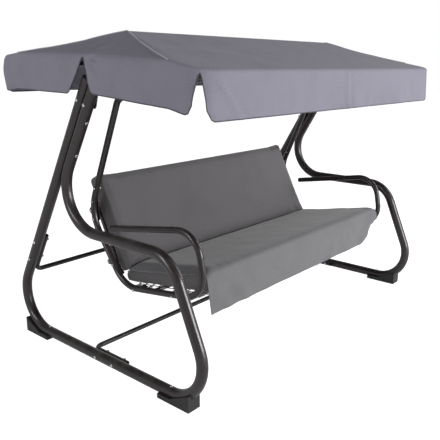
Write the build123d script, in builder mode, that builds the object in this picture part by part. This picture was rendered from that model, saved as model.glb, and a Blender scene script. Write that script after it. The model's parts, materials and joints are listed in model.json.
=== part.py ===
from build123d import *
import os
from math import acos, atan2, cos, radians, sin, sqrt, tan

os.makedirs("parts", exist_ok=True)

# A garden swing seat under a tilting canopy. Millimetres, +X to the sitter's left as seen
# from the front, +Y to the back, +Z up, floor at Z = 0.

# Stand
frame_spacing = 1930          # between the centre planes of the two side frames
stand_tube = 50
stand_wall = 1.5
rail_height = 35              # centre of the floor rail
front_corner_y = -715         # where the front leg's line meets the rail's line
front_knee_y = -458
knee_height = 643
rear_knee_y = 363
lean = 31                     # upright from the vertical, degrees
stand_top = 1300
front_foot_bend = 176
front_knee_bend = 165
rear_knee_bend = 190
rear_foot_bend = 186
tube_gap = 0.5                # between the front tube and the upright it is bolted to
rail_joint_gap = 20           # straight rail ahead of its swaged joint
swage_length = 70
swage_clearance = 0.2
cap_height = 4

foot_width = 70
foot_length = 186
foot_inset = 137              # from the rail's front corner to the foot's outer end
rear_foot_inset = 165
foot_lip = 14                 # how far the foot's walls rise beside the rail
foot_end_height = 78
foot_clearance = 0.3
foot_screw_inset = 5          # from the end of the rail's bend
nut_recess = 1.6              # foot nuts above the floor

brace_tube = 25
brace_wall = 1.2
brace_bend = 42
rear_brace_height = 330
rear_brace_grip = 250         # length bolted along the upright
floor_brace_y = 129
floor_brace_grip = 245        # length bolted along the floor rail
brace_bolt_heights = (415, 517)
floor_brace_bolt_ys = (-77, 46)
upright_bolt_heights = (1000, 1150)

# Top beam and the hangers of the seat
beam_tube = 40
beam_wall = 2
beam_y = -3
beam_height = 1318
plate_thickness = 5
plate_bolt_height = 1236      # through the upright
plate_bolt_drop = 20          # lower through the front tube
plate_pivot_radius = 15
plate_beam_radius = 28
plate_corner_radius = 18
hang_height = 1264            # swing axis
hang_y = -56                  # over the seat's centre of mass, so that it hangs level
hanger_cheek = 4
hanger_gap = 1                # beside the arm, each side
hanger_sleeve = 4
hanger_lug = 14
sleeve_fit = 0.05
pin_diameter = 10
pin_head_radius = 9
pin_head_height = 5
pin_nut_flats = 17
bush_wall = 2.5
eye_wall = 4
running_clearance = 0.06

# Seat
seat_spacing = 1623           # between the centre planes of the two seat tubes
seat_tube = 30
seat_wall = 1.5
armrest_end = (95, 627)
armrest_front = (-456, 717)
rail_front = (-512, 422)
rail_rear = (21, 348)
elbow = (254, 680)
armrest_bend = 119
rail_front_bend = 121
rail_rear_bend = 152
elbow_bend = 190
arm_joint = 165               # from the elbow's corner up to the joint with the hanger arm
arm_swage = 50
arm_aim = (-3, 1264)          # the arm's straight part points from the elbow to here
arm_bend_height = 1228        # where it turns forward to its eye
arm_bend = 45
upper_bracket_turns = (0.34, 0.8)    # of the elbow's bend, where the bracket is bolted
lower_bracket_reach = 118     # from the rail's rear corner up the tube
bar_tube = 22
bar_drop = 40
bar_straight = 40
bar_bend = 28
bar_bolt_reach = 28           # into the bar
bar_offset = -6               # bar's ends below the rail's centre line
front_bar_reach = 340         # from the rail's rear corner
rear_bar_reach = 80

cushion_width = 1550
cushion_clearance = 8         # above the seat rail's centre line, and behind the back cushion
seat_cushion_front = 540      # from the rail's rear corner
seat_cushion_rear = -48
cushion_front_height = 112    # top of the cushion above the rail's centre line
cushion_rear_height = 90
cushion_tail_height = 54      # under the back cushion
cushion_gap = 3               # between the two cushions
skirt_top = 90                # where the skirt leaves the cushion's front, above the rail
skirt_inset = 4
skirt_bottom = 330
skirt_lean = 14               # the skirt's hem behind its top
skirt_thickness = 6
back_lean = 27                # degrees
back_cushion_length = 490
back_cushion_thickness = 100
cushion_edge = 26
seat_edge = 16

back_frame_tube = 25
back_frame_width = 1490       # between centre lines
back_frame_height = 450
back_frame_foot = -20
back_foot_reach = 14          # the crease, ahead of the rail's rear corner
upper_bracket_height = 330    # on the back frame, along it
lower_bracket_height = 60
back_frame_bend = 80
grid_wire = 4
grid_weld = 0.6               # how far crossing wires melt into each other
grid_gap = 1                  # behind the back cushion
grid_foot = 10
seat_grid_wires = (11, 15)    # across the seat, and front to back
back_grid_wires = (8, 11)
seat_grid_reach = (25, 495)
spring_room = 59              # from the seat tube to the grid
bracket_thickness = 4
bracket_radius = 12
spring_count = 6
spring_radius = 5
spring_wire = 2
spring_turns = 10
spring_hook = 12              # between the coil and what it is hooked to
spring_margin = 25            # from the grid's ends

# Canopy
canopy_width = 2006
canopy_front_y = -669.5
canopy_rear_y = 607
canopy_pivot_y = -31
side_edge_height = 1405       # roof edge over the pivot and along the back
front_edge_height = 1363
ridge_height = 1515
ridge_y = -66
ridge_length = 1614
hip_setback = 150             # from the canopy's corner to where the hip meets the side edge
corner_cut = 60
cloth = 4
front_valance = 180
rear_valance = 165
side_valance_front = 152
side_valance_rear = 122
slit_front = 53               # lower end of the side slit, ahead of the pivot
slit_rear = 116               # and behind it
slit_apex = 14                # below the roof edge
slit_tip_reach = (12, 18)     # ends of the slit's blunt tip, behind the pivot
slit_round = (16, 14)         # rounded hem corner, ahead of the pivot and above the hem
corner_slit = 48
corner_slit_apex = 26
corner_slit_tip = 16
corner_slit_shoulder = 60     # below its apex
corner_slit_flare = 8         # wider again at the hem, each side
bow_tube = 22
bow_wall = 1.5
bow_corner_bend = 85
ridge_foot = 11               # where the ridge bar's line meets the side, above the pivot
ridge_bend = 60
bow_inset = 18                # from the canopy's side to the bow's centre line
joint_spigot = 60
ridge_spigot = 36
ridge_root = 7                # the ridge spigot's foot above the pivot
spigot_clearance = 0.2
cloth_gap = 5                 # between the cloth and the tubes below it
hub_width = 25
hub_radius = 14
head_cover = 1                # pivot bolt's head below the joint's face
hub_reach = 30                # from the pivot to where each bow starts
canopy_bolt = 8
knob_radius = 20
knob_depth = 26
knob_wing_depth = 18
knob_core_radius = 10
knob_groove_radius = 9
knob_groove_offset = 5        # groove's centre outside the knob's radius
knob_cap = 4                  # closed end of the knob
bolt_end_room = 2
knob_lobes = 6
face_gap = 0.3

# Fasteners
bolt_diameter = 8
bolt_clearance = 0.25
head_radius = 8
head_height = 4
nut_flats = 13
nut_height = 6.5
bolt_tail = 3
small_bolt = 6
small_head_radius = 6
small_nut_flats = 10
small_nut_height = 5
spacer_radius = 7

# Worked out from the sizes above
frame_x = frame_spacing / 2
seat_x = seat_spacing / 2
sides = (("left", -1), ("right", 1))
up = (-sin(radians(lean)), cos(radians(lean)))
back = (cos(radians(lean)), sin(radians(lean)))
rear_knee = (rear_knee_y, knee_height)
tube_pitch = stand_tube + tube_gap
upright_knee = (rear_knee[0] + back[0] * tube_pitch, rear_knee[1] + back[1] * tube_pitch)


def on_line(point, direction, height):
    """The point at a height on a slanted line of the side view."""
    reach = (height - point[1]) / direction[1]
    return (point[0] + direction[0] * reach, height)


def space(x, point):
    """A side-view point (y, z) set in space."""
    return Vector(x, point[0], point[1])


def facing(x, point, direction):
    """A location at a side-view point whose own Z runs along the direction."""
    return Plane(origin=space(x, point), z_dir=direction).location


def save(piece, name):
    piece.part.label = name
    export_step(piece.part, f"parts/{name}.step")


def bent_tube(plane, points, bends, diameter, wall):
    """A round tube along straight stretches joined by bends."""
    with BuildPart() as tube:
        with BuildLine(plane) as path:
            FilletPolyline(*points, radius=bends)
        with BuildSketch(Plane(origin=path.line @ 0, z_dir=path.line % 0)):
            Circle(diameter / 2)
            Circle(diameter / 2 - wall, mode=Mode.SUBTRACT)
        sweep(path=path.line)
    return tube


def bolt(diameter, radius, height, length):
    """A domed bolt: head below Z = 0, shank above it."""
    with BuildPart() as piece:
        Cylinder(diameter / 2, length, align=(Align.CENTER, Align.CENTER, Align.MIN))
        Cylinder(radius, height, align=(Align.CENTER, Align.CENTER, Align.MAX))
        fillet(piece.edges().group_by(Axis.Z)[0], height * 0.6)
    return piece


def nut(diameter, flats, height):
    """A hexagon nut standing on Z = 0."""
    with BuildPart() as piece:
        with BuildSketch():
            RegularPolygon(flats / 2, 6, major_radius=False)
            Circle(diameter / 2 + bolt_clearance / 2, mode=Mode.SUBTRACT)
        extrude(amount=height)
    return piece


def group(piece, places):
    """Separate copies of one piece."""
    with BuildPart() as copies:
        with Locations(*places):
            add(piece.part)
    return copies


def drill(diameter, places, length):
    """Clearance holes through the piece being built, from each place along its own Z."""
    with Locations(*places):
        Cylinder(
            diameter / 2 + bolt_clearance,
            length,
            align=(Align.CENTER, Align.CENTER, Align.CENTER),
            mode=Mode.SUBTRACT,
        )


# ---- Side frames ----

front_top = on_line(rear_knee, up, stand_top)
upright_top = on_line(upright_knee, up, stand_top + back[1] * tube_pitch)
rear_corner = on_line(upright_knee, up, rail_height)
front_corner = (front_corner_y, rail_height)
front_knee = (front_knee_y, knee_height)
leg_angle = atan2(knee_height - rail_height, front_knee_y - front_corner_y)
front_bend_end = front_corner_y + front_foot_bend / tan(leg_angle / 2)
rail_joint_y = front_bend_end + rail_joint_gap
rail_bore = stand_tube / 2 - stand_wall
rear_bend_reach = rear_foot_bend / tan(radians(90 - lean) / 2)
foot_places = {
    "front": (front_corner_y + foot_inset, 1),
    "rear": (rear_corner[0] - rear_foot_inset, -1),
}
foot_screw_ys = (
    front_bend_end + foot_screw_inset,
    rear_corner[0] - rear_bend_reach - foot_screw_inset,
)
foot_screw_places = [(sign * frame_x, y) for side, sign in sides for y in foot_screw_ys]
plate_places = [
    on_line(rear_knee, up, plate_bolt_height - plate_bolt_drop),
    on_line(upright_knee, up, plate_bolt_height),
]
brace_places = [on_line(upright_knee, up, height) for height in brace_bolt_heights]
floor_places = [(y, rail_height) for y in floor_brace_bolt_ys]
upright_places = [on_line(rear_knee, up, height) for height in upright_bolt_heights]
through = 2 * stand_tube + tube_gap

for side, sign in sides:
    x = sign * frame_x
    profile = Plane.YZ.offset(x)
    side_places = (*brace_places, *floor_places, *plate_places)
    lateral = [facing(x, place, (1, 0, 0)) for place in side_places]
    lengthwise = [facing(x, place, (0, back[0], back[1])) for place in upright_places]
    screws = [Location((sx, sy, rail_height)) for sx, sy in foot_screw_places]

    with BuildPart() as rear_tube:
        add(
            bent_tube(
                profile,
                (upright_top, rear_corner, (rail_joint_y, rail_height)),
                rear_foot_bend,
                stand_tube,
                stand_wall,
            ).part
        )
        drill(bolt_diameter, lateral, 2 * stand_tube)
        drill(bolt_diameter, lengthwise, 4 * stand_tube)
        drill(small_bolt, screws, 2 * stand_tube)
    save(rear_tube, f"{side}_rear_tube")

    with BuildPart() as front_tube:
        add(
            bent_tube(
                profile,
                (front_top, rear_knee, front_knee, front_corner, (rail_joint_y, rail_height)),
                (rear_knee_bend, front_knee_bend, front_foot_bend),
                stand_tube,
                stand_wall,
            ).part
        )
        with BuildSketch(Plane(origin=(x, rail_joint_y, rail_height), z_dir=(0, 1, 0))):
            Circle(rail_bore - swage_clearance)
            Circle(rail_bore - swage_clearance - stand_wall, mode=Mode.SUBTRACT)
        extrude(amount=swage_length)
        with BuildSketch(Plane(origin=(x, rail_joint_y, rail_height), z_dir=(0, -1, 0))):
            Circle(rail_bore)
            Circle(rail_bore - swage_clearance - stand_wall, mode=Mode.SUBTRACT)
        extrude(amount=stand_wall)
        drill(bolt_diameter, lateral[-2:], 2 * stand_tube)
        drill(bolt_diameter, lengthwise, 4 * stand_tube)
        drill(small_bolt, screws, 2 * stand_tube)
    save(front_tube, f"{side}_front_tube")

    for end, (outer_y, way) in foot_places.items():
        inner_y = outer_y + way * foot_length
        rail_underside = rail_height - stand_tube / 2
        with BuildPart() as foot:
            with BuildSketch(profile):
                with BuildLine():
                    Polyline(
                        (outer_y, 0),
                        (inner_y, 0),
                        (inner_y, rail_underside + foot_lip),
                        (outer_y + way * foot_length * 0.6, rail_underside + foot_lip),
                        (outer_y, foot_end_height),
                        close=True,
                    )
                make_face()
            extrude(amount=foot_width / 2, both=True)
            chamfer(foot.edges().group_by(Axis.Z)[0], 2)
            corner = front_corner if end == "front" else rear_corner
            knee = front_knee if end == "front" else upright_top
            bend = front_foot_bend if end == "front" else rear_foot_bend
            with BuildLine(profile) as run:
                FilletPolyline(knee, corner, (0, rail_height), radius=bend)
            with BuildSketch(Plane(origin=run.line @ 0, z_dir=run.line % 0)):
                Circle(stand_tube / 2 + foot_clearance)
            sweep(path=run.line, mode=Mode.SUBTRACT)
            with Locations((x, foot_screw_ys[0 if end == "front" else 1], 0)):
                Cylinder(small_bolt / 2 + bolt_clearance, 4 * foot_lip, mode=Mode.SUBTRACT)
                Cylinder(
                    small_nut_flats / 2 + 2,
                    nut_recess + small_nut_height,
                    align=(Align.CENTER, Align.CENTER, Align.MIN),
                    mode=Mode.SUBTRACT,
                )
        save(foot, f"{side}_{end}_foot")

with BuildPart() as tube_cap:
    Cylinder(stand_tube / 2, cap_height, align=(Align.CENTER, Align.CENTER, Align.MIN))
    fillet(tube_cap.edges().group_by(Axis.Z)[-1], cap_height * 0.6)
    Cylinder(rail_bore - swage_clearance, 4 * cap_height, align=(Align.CENTER, Align.CENTER, Align.MAX))
cap_places = [
    facing(sign * frame_x, point, (0, up[0], up[1]))
    for side, sign in sides
    for point in (front_top, upright_top)
]
save(group(tube_cap, cap_places), "tube_caps")

# ---- Stand fasteners ----

screw_top = rail_height + stand_tube / 2
foot_screw = bolt(small_bolt, small_head_radius, head_height, screw_top - nut_recess)
foot_screw_tops = [facing(sx, (sy, screw_top), (0, 0, -1)) for sx, sy in foot_screw_places]
save(group(foot_screw, foot_screw_tops), "foot_screws")
foot_nut = nut(small_bolt, small_nut_flats, small_nut_height)
save(group(foot_nut, [Location((sx, sy, nut_recess)) for sx, sy in foot_screw_places]), "foot_nuts")

front_face = -stand_tube / 2
upright_bolt = bolt(bolt_diameter, head_radius, head_height, through + nut_height + bolt_tail)
upright_bolt_places = []
upright_nut_places = []
for side, sign in sides:
    for point in upright_places:
        start = (point[0] + back[0] * front_face, point[1] + back[1] * front_face)
        end = (start[0] + back[0] * through, start[1] + back[1] * through)
        upright_bolt_places.append(facing(sign * frame_x, start, (0, back[0], back[1])))
        upright_nut_places.append(facing(sign * frame_x, end, (0, back[0], back[1])))
save(group(upright_bolt, upright_bolt_places), "upright_bolts")
large_nut = nut(bolt_diameter, nut_flats, nut_height)
save(group(large_nut, upright_nut_places), "upright_nuts")


def lateral_places(start_x, points, inward=True):
    """Locations on both sides at |X| = start_x, pointing to the middle of the object."""
    return [
        facing(sign * start_x, point, (-sign if inward else sign, 0, 0))
        for side, sign in sides
        for point in points
    ]


outer_x = frame_x + stand_tube / 2
inner_x = frame_x - stand_tube / 2
brace_x = inner_x - brace_tube / 2
brace_bolt = bolt(
    bolt_diameter, head_radius, head_height, stand_tube + brace_tube + nut_height + bolt_tail
)
all_brace_places = (*brace_places, *floor_places)
save(group(brace_bolt, lateral_places(outer_x, all_brace_places)), "brace_bolts")
save(group(large_nut, lateral_places(inner_x - brace_tube, all_brace_places)), "brace_nuts")

# ---- Braces ----

rear_brace_start = on_line(upright_knee, up, rear_brace_height)
rear_brace_plane = Plane(
    origin=space(0, rear_brace_start), x_dir=(1, 0, 0), z_dir=(0, -up[1], up[0])
)
with BuildPart() as rear_brace:
    add(
        bent_tube(
            rear_brace_plane,
            ((-brace_x, rear_brace_grip), (-brace_x, 0), (brace_x, 0), (brace_x, rear_brace_grip)),
            brace_bend,
            brace_tube,
            brace_wall,
        ).part
    )
    drill(bolt_diameter, lateral_places(brace_x, brace_places), 2 * brace_tube)
save(rear_brace, "rear_brace")

floor_brace_plane = Plane.XY.offset(rail_height)
floor_brace_end = floor_brace_y - floor_brace_grip
with BuildPart() as floor_brace:
    add(
        bent_tube(
            floor_brace_plane,
            (
                (-brace_x, floor_brace_end),
                (-brace_x, floor_brace_y),
                (brace_x, floor_brace_y),
                (brace_x, floor_brace_end),
            ),
            brace_bend,
            brace_tube,
            brace_wall,
        ).part
    )
    drill(bolt_diameter, lateral_places(brace_x, floor_places), 2 * brace_tube)
save(floor_brace, "floor_brace")

# ---- Top beam with its end plates ----

bow_radius = bow_tube / 2
pivot = (canopy_pivot_y, side_edge_height - cloth - cloth_gap - bow_radius)
beam_point = (beam_y, beam_height)
hang_point = (hang_y, hang_height)
plate_x = inner_x - plate_thickness
with BuildPart() as top_beam:
    with BuildSketch(Plane.YZ.offset(-plate_x)):
        with Locations(beam_point):
            Circle(beam_tube / 2)
            Circle(beam_tube / 2 - beam_wall, mode=Mode.SUBTRACT)
    extrude(amount=2 * plate_x)
    for side, sign in sides:
        with BuildSketch(Plane.YZ.offset(sign * inner_x)):
            with Locations(pivot):
                Circle(plate_pivot_radius)
            with Locations(beam_point):
                Circle(plate_beam_radius)
            with Locations(*plate_places):
                Circle(plate_corner_radius)
            make_hull()
            with Locations(pivot):
                Circle(canopy_bolt / 2 + bolt_clearance, mode=Mode.SUBTRACT)
            with Locations(*plate_places):
                Circle(bolt_diameter / 2 + bolt_clearance, mode=Mode.SUBTRACT)
        extrude(amount=-sign * plate_thickness)
save(top_beam, "top_beam")

plate_bolt = bolt(
    bolt_diameter, head_radius, head_height, stand_tube + plate_thickness + nut_height + bolt_tail
)
save(group(plate_bolt, lateral_places(outer_x, plate_places)), "beam_bolts")
save(group(large_nut, lateral_places(plate_x, plate_places)), "beam_nuts")

# ---- Hangers ----

cheek_inner = seat_tube / 2 + hanger_gap
cheek_outer = cheek_inner + hanger_cheek
eye_radius = pin_diameter / 2 + bush_wall + eye_wall
for side, sign in sides:
    with BuildPart() as hanger:
        with BuildSketch(Plane.YZ.offset(sign * seat_x - cheek_outer)):
            with Locations(beam_point):
                Circle(beam_tube / 2 + hanger_sleeve)
        extrude(amount=2 * cheek_outer)
        for start in (-cheek_outer, cheek_inner):
            with BuildSketch(Plane.YZ.offset(sign * seat_x + start)):
                with Locations(beam_point):
                    Circle(beam_tube / 2 + hanger_sleeve)
                with Locations(hang_point):
                    Circle(hanger_lug)
                make_hull()
            extrude(amount=hanger_cheek)
        with Locations(facing(sign * seat_x, beam_point, (1, 0, 0))):
            Cylinder(beam_tube / 2 + sleeve_fit, 4 * cheek_outer, mode=Mode.SUBTRACT)
        with Locations(facing(sign * seat_x, hang_point, (1, 0, 0))):
            Cylinder(pin_diameter / 2 + bolt_clearance, 4 * cheek_outer, mode=Mode.SUBTRACT)
    save(hanger, f"{side}_hanger_bracket")

hanger_pin = bolt(
    pin_diameter, pin_head_radius, pin_head_height, 2 * cheek_outer + nut_height + bolt_tail
)
pin_places = lateral_places(seat_x + cheek_outer, [hang_point])
pin_nut_places = lateral_places(seat_x - cheek_outer, [hang_point])
save(group(hanger_pin, pin_places), "hanger_pins")
save(group(nut(pin_diameter, pin_nut_flats, nut_height), pin_nut_places), "hanger_pin_nuts")

with BuildPart() as hanger_bush:
    Cylinder(pin_diameter / 2 + bush_wall, seat_tube)
    Cylinder(pin_diameter / 2 + running_clearance, 2 * seat_tube, mode=Mode.SUBTRACT)
save(group(hanger_bush, lateral_places(seat_x, [hang_point])), "hanger_bushes")

# ---- Seat side tubes ----


def distance(start, end):
    return sqrt((end[0] - start[0]) ** 2 + (end[1] - start[1]) ** 2)


def unit(start, end):
    """The direction from one side-view point to another."""
    length = distance(start, end)
    return ((end[0] - start[0]) / length, (end[1] - start[1]) / length)


def step(point, direction, reach):
    return (point[0] + direction[0] * reach, point[1] + direction[1] * reach)


arm_way = unit(elbow, arm_aim)
joint_point = step(elbow, arm_way, arm_joint)
arm_turn = on_line(elbow, arm_way, arm_bend_height)
eye_way = unit(arm_turn, hang_point)
arm_end = step(hang_point, eye_way, -eye_radius / 2)
back_way = unit(rail_rear, elbow)
rail_way = unit(rail_rear, rail_front)
rail_up = (rail_way[1], -rail_way[0])
seat_bore = seat_tube / 2 - seat_wall


def on_rail(reach, height):
    """A side-view point measured forward from the rail's rear corner and up from its centre line."""
    return step(step(rail_rear, rail_way, reach), rail_up, height)


bar_places = [on_rail(front_bar_reach, bar_offset), on_rail(rear_bar_reach, bar_offset)]
elbow_turn = acos(back_way[0] * arm_way[0] + back_way[1] * arm_way[1])
elbow_inside = (-back_way[1], back_way[0])


def on_elbow(turn):
    """A point on the elbow's centre line, a turn after the bend starts."""
    start = step(elbow, back_way, -elbow_bend * tan(elbow_turn / 2))
    return step(
        step(start, back_way, elbow_bend * sin(turn)), elbow_inside, elbow_bend * (1 - cos(turn))
    )


upper_bracket_tube = [on_elbow(elbow_turn * share) for share in upper_bracket_turns]
lower_bracket_tube = step(rail_rear, back_way, lower_bracket_reach)
arm_bolt_point = step(joint_point, arm_way, -arm_swage / 2)
for side, sign in sides:
    x = sign * seat_x
    with BuildPart() as side_tube:
        add(
            bent_tube(
                Plane.YZ.offset(x),
                (armrest_end, armrest_front, rail_front, rail_rear, elbow, joint_point),
                (armrest_bend, rail_front_bend, rail_rear_bend, elbow_bend),
                seat_tube,
                seat_wall,
            ).part
        )
        points = (*upper_bracket_tube, lower_bracket_tube, arm_bolt_point, *bar_places)
        drill(small_bolt, [facing(x, point, (1, 0, 0)) for point in points], 2 * seat_tube)
    save(side_tube, f"{side}_seat_tube")

    with BuildPart() as arm:
        arm_profile = Plane.YZ.offset(x)
        arm_points = (joint_point, arm_turn, arm_end)
        add(bent_tube(arm_profile, arm_points, arm_bend, seat_tube, seat_wall).part)
        with BuildSketch(Plane(origin=space(x, joint_point), z_dir=(0, -arm_way[0], -arm_way[1]))):
            Circle(seat_bore - swage_clearance)
            Circle(seat_bore - swage_clearance - seat_wall, mode=Mode.SUBTRACT)
        extrude(amount=arm_swage)
        with BuildSketch(Plane(origin=space(x, joint_point), z_dir=(0, *arm_way))):
            Circle(seat_bore)
            Circle(seat_bore - swage_clearance - seat_wall, mode=Mode.SUBTRACT)
        extrude(amount=seat_wall)
        with Locations(facing(x, hang_point, (1, 0, 0))):
            Cylinder(eye_radius, seat_tube + hanger_gap)
            Cylinder(eye_radius - eye_wall, 2 * seat_tube, mode=Mode.SUBTRACT)
        drill(small_bolt, [facing(x, arm_bolt_point, (1, 0, 0))], 2 * seat_tube)
    save(arm, f"{side}_hanger_arm")

with BuildPart() as armrest_cap:
    Cylinder(seat_tube / 2, cap_height, align=(Align.CENTER, Align.CENTER, Align.MIN))
    fillet(armrest_cap.edges().group_by(Axis.Z)[-1], cap_height * 0.6)
    Cylinder(
        seat_bore - swage_clearance, 4 * cap_height, align=(Align.CENTER, Align.CENTER, Align.MAX)
    )
armrest_way = unit(armrest_front, armrest_end)
armrest_cap_places = [facing(sign * seat_x, armrest_end, (0, *armrest_way)) for side, sign in sides]
save(group(armrest_cap, armrest_cap_places), "armrest_caps")

# ---- Seat bars ----

bar_end = seat_x - seat_tube / 2
for name, point in zip(("seat_front_bar", "seat_rear_bar"), bar_places):
    bar_plane = Plane(origin=space(0, point), x_dir=(1, 0, 0), z_dir=(0, *rail_way))
    bar = bent_tube(
        bar_plane,
        (
            (-bar_end, 0),
            (-bar_end + bar_straight, 0),
            (-bar_end + 2 * bar_straight, -bar_drop),
            (bar_end - 2 * bar_straight, -bar_drop),
            (bar_end - bar_straight, 0),
            (bar_end, 0),
        ),
        bar_bend,
        bar_tube,
        bar_tube / 2 - small_bolt / 2 - bolt_clearance,
    )
    save(bar, name)
bar_bolt = bolt(small_bolt, small_head_radius, head_height, seat_tube + bar_bolt_reach)
save(group(bar_bolt, lateral_places(seat_x + seat_tube / 2, bar_places)), "bar_bolts")

# ---- Back frame ----

crease = on_rail(back_foot_reach, cushion_rear_height + cushion_gap)
back_up = (sin(radians(back_lean)), cos(radians(back_lean)))
back_rear = (back_up[1], -back_up[0])


def on_back(height, depth):
    """A side-view point measured up the back cushion's front face and behind it."""
    return step(step(crease, back_up, height), back_rear, depth)


frame_depth = back_cushion_thickness + grid_gap + grid_wire + back_frame_tube / 2
half_back = back_frame_width / 2
bracket_heights = (upper_bracket_height, lower_bracket_height)
frame_points = [on_back(height, frame_depth) for height in bracket_heights]
back_facing = (0, -back_rear[0], -back_rear[1])
back_plane = Plane(origin=space(0, on_back(0, frame_depth)), x_dir=(1, 0, 0), z_dir=back_facing)
with BuildPart() as back_frame:
    add(
        bent_tube(
            back_plane,
            (
                (-half_back, back_frame_foot),
                (-half_back, back_frame_height),
                (half_back, back_frame_height),
                (half_back, back_frame_foot),
            ),
            back_frame_bend,
            back_frame_tube,
            brace_wall,
        ).part
    )
    drill(small_bolt, lateral_places(half_back, frame_points), 2 * back_frame_tube)
save(back_frame, "back_frame")

bracket_x = bar_end - bracket_thickness
bracket_sets = {
    "upper": (upper_bracket_tube, frame_points[0]),
    "lower": ([lower_bracket_tube], frame_points[1]),
}
for name, (tube_points, frame_point) in bracket_sets.items():
    with BuildPart() as brackets:
        for side, sign in sides:
            with BuildSketch(Plane.YZ.offset(sign * bar_end)):
                with Locations(*tube_points, frame_point):
                    Circle(bracket_radius)
                make_hull()
                with Locations(*tube_points, frame_point):
                    Circle(small_bolt / 2 + bolt_clearance, mode=Mode.SUBTRACT)
            extrude(amount=-sign * bracket_thickness)
    save(brackets, f"{name}_back_brackets")

spacer_length = bracket_x - half_back - back_frame_tube / 2
with BuildPart() as spacer:
    Cylinder(spacer_radius, spacer_length, align=(Align.CENTER, Align.CENTER, Align.MIN))
    Cylinder(small_bolt / 2 + bolt_clearance, 4 * spacer_length, mode=Mode.SUBTRACT)
save(group(spacer, lateral_places(bracket_x, frame_points)), "back_spacers")

tube_bolt_points = (*upper_bracket_tube, lower_bracket_tube)
nut_reach = small_nut_height + bolt_tail
bracket_bolt_length = seat_tube + bracket_thickness + nut_reach
bracket_bolt = bolt(small_bolt, small_head_radius, head_height, bracket_bolt_length)
save(group(bracket_bolt, lateral_places(seat_x + seat_tube / 2, tube_bolt_points)), "bracket_bolts")
frame_bolt_length = bracket_thickness + spacer_length + back_frame_tube + nut_reach
frame_bolt = bolt(small_bolt, small_head_radius, head_height, frame_bolt_length)
save(group(frame_bolt, lateral_places(bar_end, frame_points)), "back_frame_bolts")
arm_bolt = bolt(small_bolt, small_head_radius, head_height, seat_tube + nut_reach)
save(group(arm_bolt, lateral_places(seat_x + seat_tube / 2, [arm_bolt_point])), "arm_bolts")
small_nut = nut(small_bolt, small_nut_flats, small_nut_height)
small_nut_places = [
    *lateral_places(bracket_x, tube_bolt_points),
    *lateral_places(half_back - back_frame_tube / 2, frame_points),
    *lateral_places(bar_end, [arm_bolt_point]),
]
save(group(small_nut, small_nut_places), "seat_nuts")

# ---- Wire grids and springs ----


def wire_grid(plane, half_width, low, high, counts, margin):
    """A welded grid: rods across at the plane, rods along just behind it."""
    across, along = counts
    with BuildPart() as grid:
        side_start = plane.origin - plane.x_dir * half_width
        gap = (high - low) / (across - 1)
        with BuildSketch(Plane(origin=side_start, z_dir=plane.x_dir, x_dir=plane.y_dir)):
            with Locations(*[(low + gap * n, 0) for n in range(across)]):
                Circle(grid_wire / 2)
        extrude(amount=2 * half_width)
        behind = plane.z_dir * (grid_wire - grid_weld)
        foot_start = plane.origin + plane.y_dir * (low - grid_wire / 2) - behind
        with BuildSketch(Plane(origin=foot_start, z_dir=plane.y_dir, x_dir=plane.x_dir)):
            spread = half_width - margin
            with Locations(*[(-spread + 2 * spread * n / (along - 1), 0) for n in range(along)]):
                Circle(grid_wire / 2)
        extrude(amount=high - low + grid_wire)
    return grid


grid_edge = bar_end - spring_room
seat_plane = Plane(origin=space(0, on_rail(0, 0)), x_dir=(-1, 0, 0), z_dir=(0, *rail_up))
seat_grid = wire_grid(seat_plane, grid_edge, *seat_grid_reach, seat_grid_wires, grid_wire / 2)
save(seat_grid, "seat_grid")

grid_depth = back_cushion_thickness + grid_gap + grid_wire / 2
back_grid_plane = Plane(
    origin=space(0, on_back(0, grid_depth)), x_dir=(1, 0, 0), z_dir=back_facing
)
back_grid_top = back_frame_height - back_frame_bend - grid_foot
back_grid = wire_grid(
    back_grid_plane, half_back, grid_foot, back_grid_top, back_grid_wires, back_frame_tube
)
save(back_grid, "back_grid")

coil_length = spring_room - 2 * spring_hook
hook_length = spring_hook + spring_wire / 2
hook_width = spring_wire * 0.85
with BuildPart() as spring:
    with BuildLine(Plane.XY.offset(spring_hook)) as coil:
        Helix(pitch=coil_length / spring_turns, height=coil_length, radius=spring_radius)
    with BuildSketch(Plane(origin=coil.line @ 0, z_dir=coil.line % 0)):
        Circle(spring_wire / 2)
    sweep(path=coil.line, is_frenet=True)
    with Locations((spring_radius, 0, 0)):
        Box(hook_width, hook_width, hook_length, align=(Align.CENTER, Align.CENTER, Align.MIN))
    with Locations((spring_radius, 0, spring_room)):
        Box(hook_width, hook_width, hook_length, align=(Align.CENTER, Align.CENTER, Align.MAX))
first = seat_grid_reach[0] + spring_margin
spring_pitch = (seat_grid_reach[1] - spring_margin - first) / (spring_count - 1)
spring_reaches = [first + spring_pitch * n for n in range(spring_count)]
spring_places = [
    Plane(
        origin=space(sign * grid_edge, on_rail(reach, 0)), x_dir=(0, *rail_way), z_dir=(sign, 0, 0)
    ).location
    for side, sign in sides
    for reach in spring_reaches
]
save(group(spring, spring_places), "seat_springs")

# ---- Cushions ----

seat_outline = [
    on_rail(seat_cushion_rear, cushion_clearance),
    on_rail(seat_cushion_front, cushion_clearance),
    on_rail(seat_cushion_front, cushion_front_height),
    on_rail(back_foot_reach, cushion_rear_height),
    on_rail(seat_cushion_rear, cushion_tail_height),
]
with BuildPart() as seat_cushion:
    with BuildSketch(Plane.YZ):
        with BuildLine():
            Polyline(*seat_outline, close=True)
        make_face()
    extrude(amount=cushion_width / 2, both=True)
    fillet(seat_cushion.edges().filter_by(Axis.X), seat_edge)
save(seat_cushion, "seat_cushion")

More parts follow.
